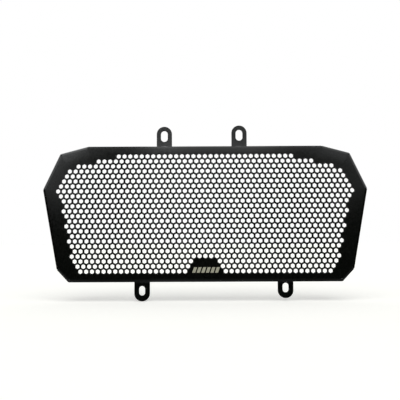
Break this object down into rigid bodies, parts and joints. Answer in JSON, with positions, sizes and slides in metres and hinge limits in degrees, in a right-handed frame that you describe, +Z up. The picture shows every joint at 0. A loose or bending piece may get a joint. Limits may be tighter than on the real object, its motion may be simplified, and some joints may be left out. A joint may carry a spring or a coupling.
{
  "type": "motorcycle radiator guard",
  "caption": "Folded sheet-metal radiator guard: a honeycomb panel with its edge folded back all round and slotted tabs for bolting to the radiator's brackets.",
  "frame": {"origin": "centre of the guard's box: on the middle line of the panel, 1.35 mm above half the panel's height, half way between its front face and the rear edge of the walls", "axes": "+X to the right as seen from the front, +Z up as mounted, -Y out of the panel's front face and +Y back to the radiator"},
  "size_m": [0.3384, 0.01, 0.1848],
  "materials": {
    "satin_black_coat": "satin black powder coat"
  },
  "bodies": {
    "root": {"radiator_guard": "satin_black_coat"}
  },
  "joints": []
}
